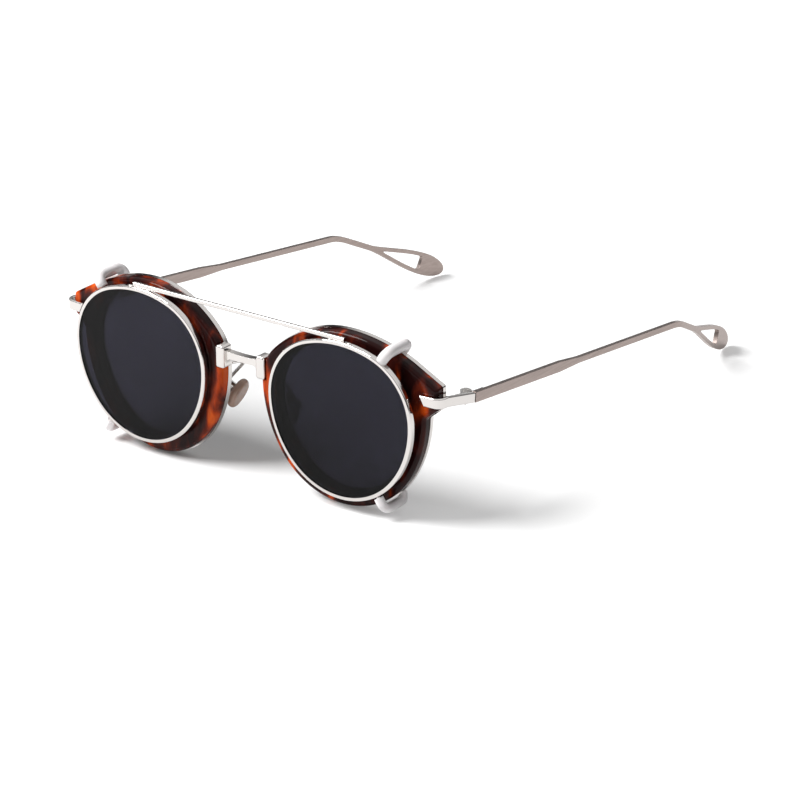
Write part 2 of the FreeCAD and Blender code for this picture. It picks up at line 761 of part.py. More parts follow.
front_leaf = new_body("hinge_front_body")
leaf = new_sketch(front_leaf, "hinge_front_leaf", "YZ_Plane", leaf_inside)
polygon(leaf, [
    (-s.leaf_start, -barrel_half), (-s.leaf_start, barrel_half), (-foot_end, barrel_half),
    (-foot_end, fall_rate * foot_end + half_leaf), (-s.leaf_length, fall_rate * s.leaf_length + half_leaf),
    (-s.leaf_length, fall_rate * s.leaf_length - half_leaf), (-foot_end, fall_rate * foot_end - half_leaf),
    (-foot_end, -barrel_half),
])
pad(front_leaf, leaf, s.leaf_thickness, "hinge_front_plate")
knuckle(front_leaf, "hinge_front_upper", barrel_half - s.knuckle_height, -foot_end, -s.web_start)
knuckle(front_leaf, "hinge_front_lower", -barrel_half, -foot_end, -s.web_start)
screw_bore(front_leaf, "hinge_front_bore")
place(front_leaf, hinge_x, hinge_y, hinge_z)
keep_pair("hinge_front", front_leaf)

temple_leaf = new_body("hinge_temple_body")
leaf = new_sketch(temple_leaf, "hinge_temple_leaf", "YZ_Plane", leaf_inside)
temple_rate = s.temple_slope.tan()
near, far = s.leaf_start * temple_rate, s.leaf_length * temple_rate
polygon(leaf, [
    (s.leaf_start, half_leaf - near), (s.leaf_start, -(half_leaf + near)),
    (s.leaf_length, -(half_leaf + far)), (s.leaf_length, half_leaf - far),
])
pad(temple_leaf, leaf, s.leaf_thickness, "hinge_temple_plate")
knuckle(temple_leaf, "hinge_temple_middle", -(s.knuckle_height / 2), s.web_start, foot_end)
screw_bore(temple_leaf, "hinge_temple_bore")
place(temple_leaf, hinge_x, hinge_y, hinge_z, yaw=s.temple_inward)
keep_pair("hinge_temple", temple_leaf)

screw = new_body("hinge_screw_body")
shaft = new_sketch(screw, "hinge_screw_shaft", "XY_Plane", -barrel_half)
circle(shaft, s.screw_radius)
pad(screw, shaft, barrel_half * 2, "hinge_screw_rod")
head = new_sketch(screw, "hinge_screw_head", "XY_Plane", barrel_half)
circle(head, s.screw_head_radius)
pad(screw, head, s.screw_head_height, "hinge_screw_disc")
slot = new_sketch(screw, "hinge_screw_slot", "XY_Plane", barrel_half + s.screw_head_height)
rectangle(slot, -s.screw_head_radius * 2, s.screw_head_radius * 2, -s.slot_width / 2, s.slot_width / 2)
pocket(screw, slot, s.slot_depth, "hinge_screw_slot_cut")
place(screw, hinge_x, hinge_y, hinge_z)
keep_pair("hinge_screw", screw)

# Temples: the common solid of a side view with the ear drop and the loop, and a plan view with the curl
profile = new_body("temple_side")
bar_outside = s.hinge_offset + s.arm_thickness
half_thin = s.temple_thin / 2
half_tall = s.temple_height / 2
taper_end = s.temple_step + s.temple_taper
mitre = half_thin * (s.ear_drop / 2).tan()
down, along = s.ear_drop.sin(), s.ear_drop.cos()
neck_y = s.ear_bend + s.tip_neck * along
neck_z = -(s.tip_neck * down)
arm = new_sketch(profile, "temple_arm", "YZ_Plane", bar_outside)
polygon(arm, [
    (split, -half_tall), (s.temple_step, -half_tall), (taper_end, -half_thin), (s.ear_bend - mitre, -half_thin),
    (neck_y - half_thin * down, neck_z - half_thin * along),
    (neck_y + half_thin * down, neck_z + half_thin * along),
    (s.ear_bend + mitre, half_thin), (taper_end, half_thin), (s.temple_step, half_tall), (split, half_tall),
])
temple_width = s.arm_thickness + s.curl_room
pad(profile, arm, temple_width, "temple_arm_block", backward=True)
ear_top = straight_edges(profile, "x", y=s.ear_bend + mitre)
fillet(profile, s.ear_radius + half_thin, "temple_ear_top", ear_top)
ear_bottom = straight_edges(profile, "x", y=s.ear_bend - mitre)
fillet(profile, s.ear_radius - half_thin, "temple_ear_bottom", ear_bottom)


def tip_sketch(name):
    """A sketch of the temple tip, along the dropped part of the bar and measured from the ear bend."""
    sketch = new_sketch(profile, name, "YZ_Plane", bar_outside)
    place_at = f"create(<<vector>>; {s.ear_bend.formula}; 0; {bar_outside.formula})"
    turn = f"create(<<rotation>>; -{s.ear_drop.formula}; 0; 0)"
    sketch.setExpression("AttachmentOffset", f"create(<<placement>>; {place_at}; {turn})")
    return sketch


run = float(s.tip_spread)
widen = float(s.tip_half - half_thin)
flare_turn = 2 * math.atan2(widen, run)
shoulder_radius = run / math.sin(flare_turn) - float(s.tip_flare)
tip_full = s.tip_neck + s.tip_spread
end_x = tip_full + s.tip_pad
tip_length = end_x + s.tip_half
loop_end = tip_full - s.loop_wall
flare_z = half_thin + s.tip_flare
shoulder_z = float(s.tip_half) - shoulder_radius
quarter = math.pi / 2
tip = tip_sketch("temple_tip")
curves = [
    arc(end_x, 0, s.tip_half, -quarter, quarter),
    line((end_x, s.tip_half), (tip_full, s.tip_half)),
    arc(tip_full, shoulder_z, shoulder_radius, quarter, quarter + flare_turn),
    arc(s.tip_neck, flare_z, s.tip_flare, -quarter, flare_turn - quarter),
    line((s.tip_neck, half_thin), (s.tip_neck, -half_thin)),
    arc(s.tip_neck, -flare_z, s.tip_flare, quarter - flare_turn, quarter),
    arc(tip_full, -shoulder_z, shoulder_radius, -quarter - flare_turn, -quarter),
    line((tip_full, -s.tip_half), (end_x, -s.tip_half)),
]
end = chain(tip, curves, smooth=(0, 1, 2, 5, 6, 7), backward=(3, 5))
upper, _, flare_upper, neck, flare_lower, _, lower = range(end + 1, end + len(curves))
measure(tip, "Radius", s.tip_half, end)
locate(tip, end_x, ZERO, end, Point.CENTRE)
constrain(tip, "Horizontal", upper)
constrain(tip, "Horizontal", lower)
measure(tip, "DistanceX", tip_full, upper, Point.END)
measure(tip, "DistanceX", tip_full, lower, Point.START)
locate(tip, s.tip_neck, half_thin, neck, Point.START)
locate(tip, s.tip_neck, -half_thin, neck, Point.END)
measure(tip, "DistanceX", s.tip_neck, flare_upper, Point.CENTRE)
measure(tip, "DistanceX", s.tip_neck, flare_lower, Point.CENTRE)
measure(tip, "Radius", s.tip_flare, flare_upper)
constrain(tip, "Equal", flare_upper, flare_lower)
pad(profile, tip, temple_width, "temple_tip_block", backward=True)

hole = tip_sketch("temple_loop")
hole_flare = s.tip_flare + s.loop_tine
hole_shoulder = shoulder_radius - float(s.loop_tine)
end_offset = float(s.loop_wall)
hole_half = shoulder_z + math.sqrt(hole_shoulder**2 - end_offset**2)
end_angle = math.acos(-end_offset / hole_shoulder)
nose_x = float(s.tip_neck) + math.sqrt(float(hole_flare + s.loop_nose)**2 - float(flare_z)**2)
nose_angle = math.atan2(-float(flare_z), nose_x - float(s.tip_neck))
nose_start = nose_angle + math.pi
curves = [
    line((loop_end, -hole_half), (loop_end, hole_half)),
    arc(tip_full, shoulder_z, hole_shoulder, end_angle, quarter + flare_turn),
    arc(s.tip_neck, flare_z, hole_flare, nose_angle, flare_turn - quarter),
    arc(nose_x, 0, s.loop_nose, nose_start, 2 * math.pi - nose_start),
    arc(s.tip_neck, -flare_z, hole_flare, quarter - flare_turn, -nose_angle),
    arc(tip_full, -shoulder_z, hole_shoulder, -quarter - flare_turn, -end_angle),
]
stop = chain(hole, curves, smooth=(1, 2, 3, 4), backward=(2, 4))
shoulder_upper, flare_upper, nose, flare_lower, shoulder_lower = range(stop + 1, stop + len(curves))
constrain(hole, "Vertical", stop)
measure(hole, "DistanceX", loop_end, stop, Point.START)
locate(hole, s.tip_neck, flare_z, flare_upper, Point.CENTRE)
locate(hole, s.tip_neck, -flare_z, flare_lower, Point.CENTRE)
measure(hole, "Radius", hole_flare, flare_upper)
constrain(hole, "Equal", flare_upper, flare_lower)
measure(hole, "DistanceX", tip_full, shoulder_upper, Point.CENTRE)
measure(hole, "DistanceX", tip_full, shoulder_lower, Point.CENTRE)
set_height(hole, shoulder_upper, s.tip_half - s.loop_tine)
constrain(hole, "Equal", shoulder_upper, shoulder_lower)
measure(hole, "Radius", s.loop_nose, nose)
pocket(profile, hole, temple_width, "temple_loop_cut")

curl = new_body("temple_plan")
curve = new_sketch(curl, "temple_curl", "XY_Plane", s.temple_height)
half_bar = s.arm_thickness / 2
bar_middle = s.hinge_offset + half_bar
curl_mitre = half_bar * (s.ear_curl / 2).tan()
curl_in, curl_on = s.ear_curl.sin(), s.ear_curl.cos()
curl_length = tip_length * 1.2
curl_x = bar_middle - curl_length * curl_in
curl_y = s.ear_bend + curl_length * curl_on
polygon(curve, [
    (s.hinge_offset, ZERO), (bar_outside, ZERO), (bar_outside, s.ear_bend + curl_mitre),
    (curl_x + half_bar * curl_on, curl_y + half_bar * curl_in),
    (curl_x - half_bar * curl_on, curl_y - half_bar * curl_in), (s.hinge_offset, s.ear_bend - curl_mitre),
])
pad(curl, curve, s.temple_height + tip_length * down + s.tip_half * 2, "temple_curl_block", backward=True)
curl_outside = straight_edges(curl, "z", y=s.ear_bend + curl_mitre)
fillet(curl, s.curl_radius + half_bar, "temple_curl_outside", curl_outside)
curl_inside = straight_edges(curl, "z", y=s.ear_bend - curl_mitre)
fillet(curl, s.curl_radius - half_bar, "temple_curl_inside", curl_inside)
temple = doc.addObject("Part::MultiCommon", "temple")
temple.Shapes = [profile, curl]
place(temple, hinge_x, hinge_y, hinge_z, yaw=s.temple_inward, roll=-s.temple_slope)
keep_pair("temple", temple)

# Nose pads: an oval pad with a boss that rocks on a screw in a small box, on a bent wire arm
pad_x = nasal_x + s.pad_outward
pad_y = metal_back + s.pad_back
pad_turn = {"x": pad_x, "y": pad_y, "z": s.pad_rise, "yaw": -s.pad_splay, "pitch": -s.pad_lean}
half_boss = s.boss_width / 2
half_slot = half_boss + s.box_play
half_box = half_slot + s.box_wall
box_end = s.pad_axis + s.box_back + s.box_back_wall

nose_pad = new_body("nose_pad_body")
oval = new_sketch(nose_pad, "nose_pad_oval", "YZ_Plane", -s.pad_half_depth)
end_z = s.pad_half_length - s.pad_end
side_radius = (end_z * end_z + s.pad_half_width * s.pad_half_width - s.pad_end * s.pad_end) / (
    (s.pad_half_width - s.pad_end) * 2)
side_y = float(side_radius - s.pad_half_width)
end_turn = math.atan2(float(end_z), side_y)
arcs = [
    arc(0, end_z, s.pad_end, end_turn, math.pi - end_turn),
    arc(side_y, 0, side_radius, math.pi - end_turn, math.pi + end_turn),
    arc(0, -end_z, s.pad_end, math.pi + end_turn, 2 * math.pi - end_turn),
    arc(-side_y, 0, side_radius, -end_turn, end_turn),
]
top = chain(oval, arcs, smooth=range(len(arcs)))
locate(oval, ZERO, end_z, top, Point.CENTRE)
locate(oval, ZERO, -end_z, top + 2, Point.CENTRE)
measure(oval, "Radius", s.pad_end, top)
constrain(oval, "Equal", top, top + 2)
measure(oval, "Radius", side_radius, top + 1)
constrain(oval, "Equal", top + 1, top + 3)
pad(nose_pad, oval, s.pad_half_depth * 2, "nose_pad_disc")
for number, depth in enumerate((-s.pad_half_depth, s.pad_half_depth)):
    fillet(nose_pad, s.pad_edge, f"nose_pad_edge_{number}", face_edges(nose_pad, "x", depth))
tab = new_sketch(nose_pad, "nose_pad_tab", "XZ_Plane", half_boss)
rectangle(tab, ZERO, s.pad_axis, -s.boss_radius, s.boss_radius)
pad(nose_pad, tab, s.boss_width, "nose_pad_tab_block", backward=True)
boss = new_sketch(nose_pad, "nose_pad_boss", "XZ_Plane", half_boss)
circle(boss, s.boss_radius, s.pad_axis)
pad(nose_pad, boss, s.boss_width, "nose_pad_boss_disc", backward=True)
bore = new_sketch(nose_pad, "nose_pad_bore", "XZ_Plane", half_boss)
circle(bore, s.pad_screw_radius + s.pad_screw_play, s.pad_axis)
pocket(nose_pad, bore, s.boss_width, "nose_pad_bore_cut")
place(nose_pad, **pad_turn)
keep_pair("nose_pad", nose_pad)

pad_box = new_body("nose_pad_box_body")
block = new_sketch(pad_box, "nose_pad_box_outline", "XZ_Plane", half_box)
rectangle(block, s.pad_axis - s.box_front, box_end, -s.box_half_height, s.box_half_height)
pad(pad_box, block, half_box * 2, "nose_pad_box_block", backward=True)
channel = new_sketch(pad_box, "nose_pad_box_channel", "XY_Plane", s.box_half_height)
rectangle(channel, ZERO, s.pad_axis + s.box_back, -half_slot, half_slot)
pocket(pad_box, channel, s.box_half_height * 2, "nose_pad_box_channel_cut")
bore = new_sketch(pad_box, "nose_pad_box_bore", "XZ_Plane", half_box)
circle(bore, s.pad_screw_radius + s.pad_screw_play, s.pad_axis)
pocket(pad_box, bore, half_box * 2, "nose_pad_box_bore_cut")
place(pad_box, **pad_turn)
keep_pair("nose_pad_box", pad_box)

pad_screw = new_body("nose_pad_screw_body")
shaft = new_sketch(pad_screw, "nose_pad_screw_shaft", "XZ_Plane", half_box)
circle(shaft, s.pad_screw_radius, s.pad_axis)
pad(pad_screw, shaft, half_box * 2, "nose_pad_screw_rod", backward=True)
head = new_sketch(pad_screw, "nose_pad_screw_head", "XZ_Plane", half_box)
circle(head, s.pad_screw_head, s.pad_axis)
pad(pad_screw, head, s.pad_screw_cap, "nose_pad_screw_disc")
place(pad_screw, **pad_turn)
keep_pair("nose_pad_screw", pad_screw)


def bent_path(points, radius):
    """Straight runs between points, joined by tangent arcs of one radius."""
    edges = []
    start = points[0]
    for before, knee, after in zip(points, points[1:], points[2:]):
        back = (before - knee).normalize()
        on = (after - knee).normalize()
        half = back.getAngle(on) / 2
        tangent = radius / math.tan(half)
        middle = knee + (back + on).normalize() * (radius / math.sin(half) - radius)
        edges.append(Part.LineSegment(start, knee + back * tangent).toShape())
        edges.append(Part.Arc(knee + back * tangent, middle, knee + on * tangent).toShape())
        start = knee + on * tangent
    edges.append(Part.LineSegment(start, points[-1]).toShape())
    return Part.Wire(edges)


def pad_point(x, z):
    """A point in the middle plane of the nose pad's own frame, as a point of the front."""
    turn = Rotation(-float(s.pad_splay), -float(s.pad_lean), 0)
    return Vector(float(pad_x), float(pad_y), float(s.pad_rise)) + turn.multVec(Vector(x, 0, z))


wrap = math.radians(float(s.face_form))
root_x = float(nasal_x + s.wire_root_in)
root_y = (float(metal_back) + (root_x + float(s.wire_radius)) * math.sin(wrap)) / math.cos(wrap)
root = Vector(root_x, root_y, float(s.wire_root_rise))
knee = Vector(float(nasal_x - s.wire_knee_in), float(metal_back + s.wire_knee_back), float(s.wire_knee_rise))
seat_x = float(s.pad_axis + s.box_back + s.box_back_wall / 2)
box_top = float(s.box_half_height)
route = [
    root, root + Vector(0, float(s.wire_root_length), 0), knee,
    pad_point(seat_x, box_top + float(s.wire_end_length)), pad_point(seat_x, box_top),
]
path = doc.addObject("Part::Feature", "nose_pad_arm_path")
path.Shape = bent_path(route, float(s.wire_bend))
section = doc.addObject("Part::Circle", "nose_pad_arm_section")
section.setExpression("Radius", s.wire_radius.formula)
section.Placement = Placement(root, Rotation(UP, Vector(0, 1, 0)))
pad_arm = doc.addObject("Part::Sweep", "nose_pad_arm")
pad_arm.Sections = [section]
pad_arm.Spine = (path, [f"Edge{i + 1}" for i in range(len(path.Shape.Edges))])
pad_arm.Solid = True
place(pad_arm)
keep_pair("nose_pad_arm", pad_arm)

# Sun clip: thin rims with a groove for the dark lenses, joined by a straight bar across their tops
clip_front = s.clip_gap + s.clip_rim_depth
clip_plane = s.clip_gap + s.clip_rim_depth / 2
clip_rim = new_body("clip_rim_body")
outline = new_sketch(clip_rim, "clip_rim_outline", "XZ_Plane", clip_front)
draw_eye(outline, CLIP, s.clip_rim_width)
draw_eye(outline, CLIP)
pad(clip_rim, outline, s.clip_rim_depth, "clip_rim_wire", backward=True)
fillet(clip_rim, s.clip_rim_edge, "clip_rim_front_edge", face_edges(clip_rim, "y", -clip_front))
fillet(clip_rim, s.clip_rim_edge, "clip_rim_back_edge", face_edges(clip_rim, "y", -s.clip_gap))
groove_half = s.clip_lens_depth / 2 + s.clip_lens_play
groove = new_sketch(clip_rim, "clip_rim_groove", "XZ_Plane", clip_plane + groove_half)
draw_eye(groove, CLIP, s.clip_groove)
pocket(clip_rim, groove, groove_half * 2, "clip_rim_groove_cut")
place(clip_rim, yaw=s.clip_form)
keep_pair("clip_rim", clip_rim)

clip_lens = new_body("clip_lens_body")
outline = new_sketch(clip_lens, "clip_lens_outline", "XZ_Plane", clip_plane + s.clip_lens_depth / 2)
draw_eye(outline, CLIP, s.clip_groove - s.clip_lens_play)
pad(clip_lens, outline, s.clip_lens_depth, "clip_lens_blank", backward=True)
place(clip_lens, yaw=s.clip_form)
keep_pair("clip_lens", clip_lens)

clip_bar = new_body("clip_bar_body")
bar_half_length = CLIP.x + s.bar_over
bar_middle_y = CLIP.x * s.clip_form.sin() - clip_plane * s.clip_form.cos()
bar_low = CLIP.z + CLIP.half_height + s.clip_rim_width + s.bar_play
section = new_sketch(clip_bar, "clip_bar_section", "YZ_Plane", -bar_half_length)
half_bar_depth = s.bar_depth / 2
bar_front = bar_middle_y - half_bar_depth
rectangle(section, bar_front, bar_front + s.bar_depth, bar_low, bar_low + s.bar_height)
pad(clip_bar, section, bar_half_length * 2, "clip_bar_rod")
fillet(clip_bar, s.bar_edge, "clip_bar_edges", straight_edges(clip_bar, "x"))
place(clip_bar)
keep("clip_bar", clip_bar)


# Claws: a wire from the clip's rim, over the edge of the front and in behind it, in a soft closed sleeve
def draw_hook(body, name, start, top, back, tip):
    """The claw's path in its own plane: X runs outwards from the middle of the eye, and Y runs back."""
    front = -clip_plane
    bend = s.sleeve_bend
    turn_x = top - bend
    sketch = new_sketch(body, name, "XY_Plane")
    curves = [
        line((start, front), (turn_x, front)),
        arc(turn_x, front + bend, bend, -quarter, 0),
        line((top, front + bend), (top, back - bend)),
        arc(turn_x, back - bend, bend, 0, quarter),
        line((turn_x, back), (tip, back)),
    ]
    first = chain(sketch, curves, smooth=range(len(curves) - 1), closed=False)
    locate(sketch, start, front, first, Point.START)
    constrain(sketch, "Horizontal", first)
    measure(sketch, "Radius", bend, first + 1)
    constrain(sketch, "Vertical", first + 2)
    measure(sketch, "DistanceX", top, first + 2, Point.START)
    measure(sketch, "Radius", bend, first + 3)
    constrain(sketch, "Horizontal", first + 4)
    locate(sketch, tip, back, first + 4, Point.END)
    return sketch


def pipe(body, kind, name, radius, start, top, back, tip):
    """Sweeps a circle along the claw's path."""
    spine = draw_hook(body, name + "_path", start, top, back, tip)
    ring = new_sketch(body, name + "_ring", "YZ_Plane", start)
    circle(ring, radius, -clip_plane)
    doc.recompute()
    feature = body.newObject("PartDesign::" + kind, name)
    feature.Profile = ring
    feature.Spine = (spine, [f"Edge{i + 1}" for i in range(len(spine.Shape.Edges))])
    doc.recompute()


extra_turn = s.face_form - s.clip_form
for level in ("upper", "lower"):
    angle = getattr(s, f"claw_{level}")
    edge = getattr(s, f"claw_{level}_edge")
    wire_start = getattr(s, f"claw_{level}_rim") + s.claw_gap
    sleeve_start = wire_start + s.sleeve_start
    hook_top = edge + getattr(s, f"claw_{level}_clear") + s.sleeve_radius
    rim_back = metal_back / extra_turn.cos() + (CLIP.x + edge * angle.cos()) * extra_turn.tan()
    hook_back = rim_back + s.sleeve_back_clear + s.sleeve_radius
    sleeve_tip = edge - s.sleeve_hook
    wire_tip = sleeve_tip + s.sleeve_end_wall
    eye_x = CLIP.x * s.clip_form.cos()
    eye_y = CLIP.x * s.clip_form.sin()
    claw_wire = new_body(f"claw_wire_{level}_body")
    pipe(claw_wire, "AdditivePipe", f"claw_wire_{level}", s.claw_wire_radius,
         wire_start, hook_top, hook_back, wire_tip)
    place(claw_wire, eye_x, eye_y, CLIP.z, yaw=s.clip_form, pitch=-angle)
    keep_pair(f"claw_wire_{level}", claw_wire)
    sleeve = new_body(f"claw_sleeve_{level}_body")
    pipe(sleeve, "AdditivePipe", f"claw_sleeve_{level}", s.sleeve_radius,
         sleeve_start, hook_top, hook_back, sleeve_tip)
    fillet(sleeve, s.sleeve_tip, f"claw_sleeve_{level}_tip", face_edges(sleeve, "x", sleeve_tip))
    bore_tip = wire_tip - s.claw_play
    pipe(sleeve, "SubtractivePipe", f"claw_bore_{level}", s.claw_wire_radius + s.claw_play,
         sleeve_start, hook_top, hook_back, bore_tip)
    place(sleeve, eye_x, eye_y, CLIP.z, yaw=s.clip_form, pitch=-angle)
    keep_pair(f"claw_sleeve_{level}", sleeve)

# The origin goes to the middle of the footprint, on the surface below
doc.recompute()
bounds = Part.makeCompound([thing.Shape for thing in nodes.values()]).optimalBoundingBox(False, False)
set_size("front_setback", (bounds.YMin + bounds.YMax) / 2)
set_size("front_level", -bounds.ZMin)
doc.recompute()

for thing in doc.Objects:
    if "Invalid" in thing.State or "Error" in thing.State:
        raise ValueError(f"{thing.Label} is {thing.State}")
for name, thing in nodes.items():
    shape = thing.Shape
    if shape.isNull() or not shape.isValid() or len(shape.Solids) != 1 or shape.Volume <= 0:
        raise ValueError(f"{name} is not one valid solid")
os.makedirs("parts", exist_ok=True)
for name, thing in nodes.items():
    thing.Shape.exportStep(f"parts/{name}.step")
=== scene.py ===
import json
import math

import bmesh
import bpy
from mathutils import Matrix, Vector
from mathutils.bvhtree import BVHTree
from mathutils.geometry import tessellate_polygon

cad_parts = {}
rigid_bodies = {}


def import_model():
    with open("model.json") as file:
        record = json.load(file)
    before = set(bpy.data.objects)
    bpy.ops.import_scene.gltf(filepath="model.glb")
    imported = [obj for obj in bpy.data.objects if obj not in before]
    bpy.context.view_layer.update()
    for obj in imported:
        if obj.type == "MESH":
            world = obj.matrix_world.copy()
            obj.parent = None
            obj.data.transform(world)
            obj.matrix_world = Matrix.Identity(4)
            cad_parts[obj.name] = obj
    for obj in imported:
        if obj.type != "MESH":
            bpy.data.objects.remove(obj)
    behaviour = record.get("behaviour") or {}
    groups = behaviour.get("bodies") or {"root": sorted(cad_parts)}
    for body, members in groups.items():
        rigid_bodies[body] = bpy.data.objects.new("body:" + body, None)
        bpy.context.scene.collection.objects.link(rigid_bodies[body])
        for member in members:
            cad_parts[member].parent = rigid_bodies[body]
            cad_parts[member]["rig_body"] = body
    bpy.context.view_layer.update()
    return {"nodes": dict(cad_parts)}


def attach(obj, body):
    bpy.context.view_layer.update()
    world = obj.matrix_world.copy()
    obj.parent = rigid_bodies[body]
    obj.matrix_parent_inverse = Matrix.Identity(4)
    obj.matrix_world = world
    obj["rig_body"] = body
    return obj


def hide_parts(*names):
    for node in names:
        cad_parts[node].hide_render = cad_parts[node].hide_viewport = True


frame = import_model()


# Acetate rims: two rings milled from tortoise sheet and polished to a deep gloss. The sheet is a dark brown
# block with red and amber clouds through its whole thickness, so each rim shows its own pattern. The left
# rim comes from a redder stretch of the sheet.
SIDES = ("left", "right")
MM = 0.001
SHEET_TURN = (0.15, 0.2, 0.3)
SHEET_STRETCH = (1.0, 0.6, 0.42)
SHEET_SHIFT = (0.05, 0.02, 0)
STREAK_SHARE = 0.12
REDDER_ALL_OVER = 0.03
REDDER_PER_METRE_LEFT = 0.9
STREAK_HAZE = 0.06
ACETATE_POLISH = 0.04
TORTOISE_STOPS = (
    (0.44, (0.016, 0.0036, 0.0034)),
    (0.53, (0.055, 0.0085, 0.0055)),
    (0.58, (0.16, 0.019, 0.005)),
    (0.625, (0.45, 0.050, 0.006)),
    (0.69, (0.64, 0.095, 0.010)),
)
nodes = frame["nodes"]


class Flow:
    """One socket of a finish. Sums, differences and products of values add their Math nodes."""

    def __init__(self, tree, socket=None):
        self.tree = tree
        self.socket = socket

    def node(self, kind, settings=None, sockets=None, output=0):
        made = self.tree.nodes.new(kind)
        for name, value in (settings or {}).items():
            if name == "stops":
                ramp = made.color_ramp
                while len(ramp.elements) < len(value):
                    ramp.elements.new(0.5)
                for element, (place, colour) in zip(ramp.elements, value):
                    element.position = place
                    element.color = (*colour, 1)
            else:
                setattr(made, name, value)
        for name, value in (sockets or {}).items():
            if isinstance(value, Flow):
                self.tree.links.new(value.socket, made.inputs[name])
            else:
                made.inputs[name].default_value = value
        return Flow(self.tree, made.outputs[output] if made.outputs else None)

    def maths(self, operation, first, second):
        return self.node("ShaderNodeMath", {"operation": operation}, {0: first, 1: second})

    def __add__(self, other):
        return self.maths("ADD", self, other)

    def __sub__(self, other):
        return self.maths("SUBTRACT", self, other)

    def __rsub__(self, other):
        return self.maths("SUBTRACT", other, self)

    def __mul__(self, other):
        return self.maths("MULTIPLY", self, other)

    __radd__ = __add__
    __rmul__ = __mul__


def new_finish(name):
    material = bpy.data.materials.new(name)
    material.use_nodes = True
    material.node_tree.nodes.clear()
    return material, Flow(material.node_tree)


def surface(flow, **sockets):
    """The finish's shader. An underscore in a socket's name stands for a space."""
    named = {key.replace("_", " "): value for key, value in sockets.items()}
    shader = flow.node("ShaderNodeBsdfPrincipled", None, named)
    flow.node("ShaderNodeOutputMaterial", None, {"Surface": shader})


def in_place(flow, turn=(0, 0, 0), stretch=(1, 1, 1), shift=(0, 0, 0)):
    """Object coordinates, turned, stretched and shifted for a grain."""
    here = flow.node("ShaderNodeTexCoord", output="Object")
    sockets = {"Vector": here, "Rotation": turn, "Scale": stretch, "Location": shift}
    return flow.node("ShaderNodeMapping", None, sockets)


def clouds(flow, place, scale, detail=2.0, roughness=0.5, distortion=0.0):
    sockets = {
        "Vector": place, "Scale": scale, "Detail": detail, "Roughness": roughness, "Distortion": distortion,
    }
    return flow.node("ShaderNodeTexNoise", None, sockets)


def shades(flow, amount, stops):
    """A colour that runs through the stops as the amount grows from 0 to 1."""
    return flow.node("ShaderNodeValToRGB", {"stops": stops}, {"Fac": amount})


def bump(flow, height, strength, distance):
    sockets = {"Height": height, "Strength": strength, "Distance": distance}
    return flow.node("ShaderNodeBump", None, sockets)


def dress(node, finish):
    nodes[node].data.materials.clear()
    nodes[node].data.materials.append(finish)


tortoise, flow = new_finish("tortoise_acetate")
sheet_place = in_place(flow, SHEET_TURN, SHEET_STRETCH, SHEET_SHIFT)
patches = clouds(flow, sheet_place, scale=175, detail=1.6, roughness=0.45, distortion=0.7)
streaks = clouds(flow, sheet_place, scale=520, detail=2.0, roughness=0.6, distortion=0.4)
across = flow.node("ShaderNodeSeparateXYZ", None, {"Vector": in_place(flow)}, output="X")
mottle = patches * (1 - STREAK_SHARE) + streaks * STREAK_SHARE
pattern = mottle - across * REDDER_PER_METRE_LEFT + REDDER_ALL_OVER
ripple = clouds(flow, in_place(flow), scale=60, detail=1.0)
surface(
    flow, Base_Color=shades(flow, pattern, TORTOISE_STOPS), Roughness=streaks * STREAK_HAZE + ACETATE_POLISH,
    IOR=1.48, Specular_IOR_Level=0.10, Normal=bump(flow, ripple, strength=0.05, distance=0.6 * MM),
)
for side in SIDES:
    dress("acetate_rim_" + side, tortoise)


# Metal rims: plates stamped from nickel silver that lie behind the acetate and hold the clear lenses.
# They are polished by hand, which leaves faint waves and hairline scratches.
SILVER = (0.65, 0.62, 0.60, 1)
HAIRLINE_STRETCH = (1, 1, 9)
WAVE_HAZE = 0.08
HAIRLINE_HAZE = 0.05
SILVER_POLISH = 0.04
polished, flow = new_finish("polished_metal")
waves = clouds(flow, in_place(flow), scale=110)
hairlines = clouds(flow, in_place(flow, stretch=HAIRLINE_STRETCH), scale=1400)
surface(
    flow, Base_Color=SILVER, Metallic=1.0,
    Roughness=waves * WAVE_HAZE + hairlines * HAIRLINE_HAZE + SILVER_POLISH,
    Normal=bump(flow, waves, strength=0.06, distance=0.4 * MM),
)
for side in SIDES:
    dress("metal_rim_" + side, polished)


# Base lenses: flat clear lenses of cast resin, cut to the opening and trapped between the acetate and the
# ledge of the metal rim. Wiping leaves faint smears.
CLEAR_RESIN = (0.97, 0.98, 0.98, 1)
SMEAR_HAZE = 0.02
clear, flow = new_finish("clear_lens")
smears = clouds(flow, in_place(flow), scale=90, detail=3.0)
surface(flow, Base_Color=CLEAR_RESIN, Transmission_Weight=1.0, IOR=1.5, Roughness=smears * SMEAR_HAZE)
for side in SIDES:
    dress("base_lens_" + side, clear)


# Bridge: a forged bar of nickel silver with two legs let into the acetate. Its edges are broken with a fine
# file, and it is polished with the rims.
WELD = 0.002 * MM
FLAT = math.radians(0.5)
SHARP = math.radians(40)
EDGE_STEPS = 3
BRIDGE_EDGE = 0.45 * MM
scene = bpy.context.scene


def welded(node):
    """A copy of a CAD node's mesh with its loose triangles joined."""
    mesh = bmesh.new()
    mesh.from_mesh(nodes[node].data)
    bmesh.ops.remove_doubles(mesh, verts=mesh.verts, dist=WELD)
    return mesh


def smooth_piece(name, mesh, finish):
    """A piece with smooth shading from a worked copy, which is freed."""
    made = bpy.data.meshes.new(name)
    mesh.to_mesh(made)
    mesh.free()
    for leftover in ("custom_normal", "sharp_edge", "sharp_face"):
        if leftover in made.attributes:
            made.attributes.remove(made.attributes[leftover])
    made.shade_smooth()
    made.materials.append(finish)
    piece = bpy.data.objects.new(name, made)
    scene.collection.objects.link(piece)
    return piece


